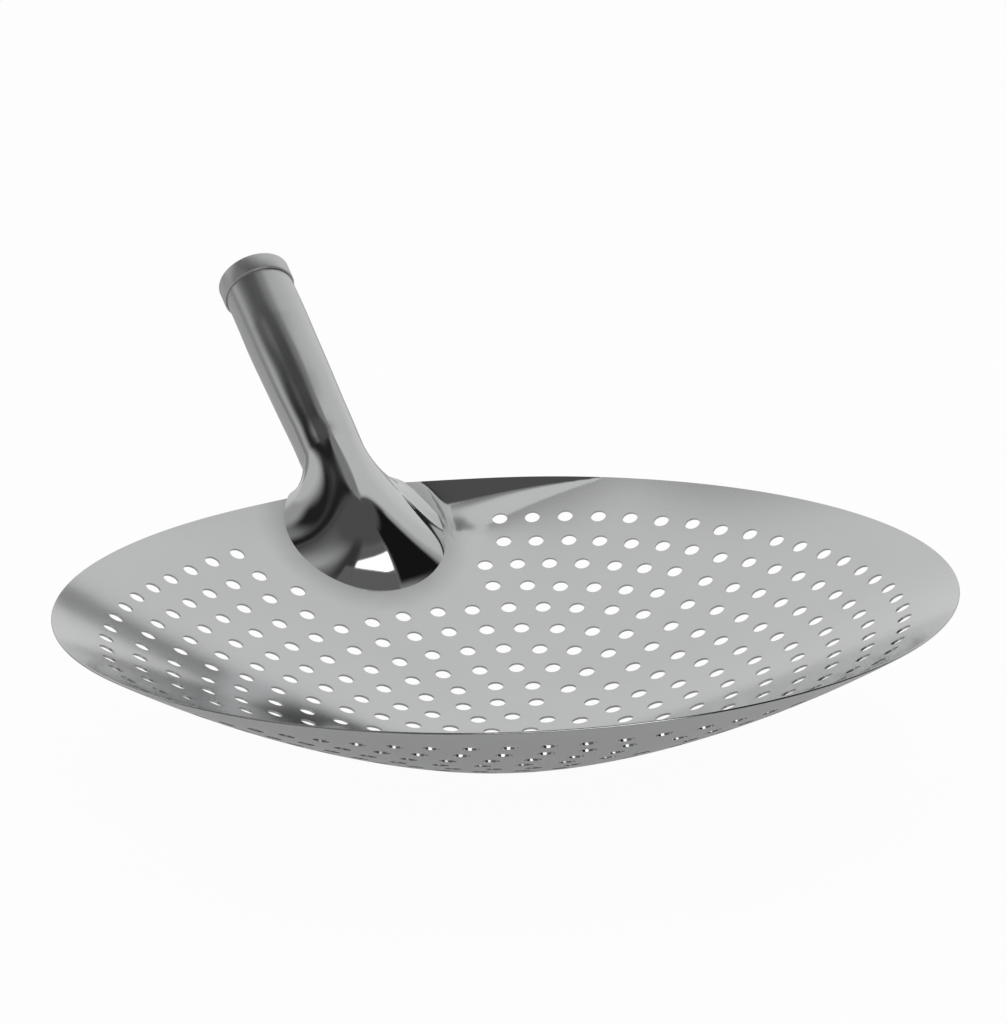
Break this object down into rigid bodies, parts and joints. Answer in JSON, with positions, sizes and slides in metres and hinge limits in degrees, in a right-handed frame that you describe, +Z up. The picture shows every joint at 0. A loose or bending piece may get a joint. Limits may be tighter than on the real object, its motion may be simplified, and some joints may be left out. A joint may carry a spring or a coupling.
{
  "type": "kitchen skimmer",
  "caption": "Large round perforated steel skimmer bowl whose wall is drawn up into a leaning hollow socket for a wooden handle.",
  "frame": {"origin": "middle of the overall length and width, at the level of the bowl's lowest point", "axes": "+X from the bowl towards the mouth of the socket, +Y across it, +Z up along the bowl's axis"},
  "size_m": [0.4288, 0.3308, 0.1387],
  "materials": {
    "bowl_steel": "satin, lightly marked by use",
    "socket_steel": "smooth, with soft waves along the tube",
    "ring_steel": "satin"
  },
  "bodies": {
    "root": {"bowl": "bowl_steel", "neck": "bowl_steel", "socket_tube": "socket_steel", "mouth_ring": "ring_steel"}
  },
  "joints": []
}
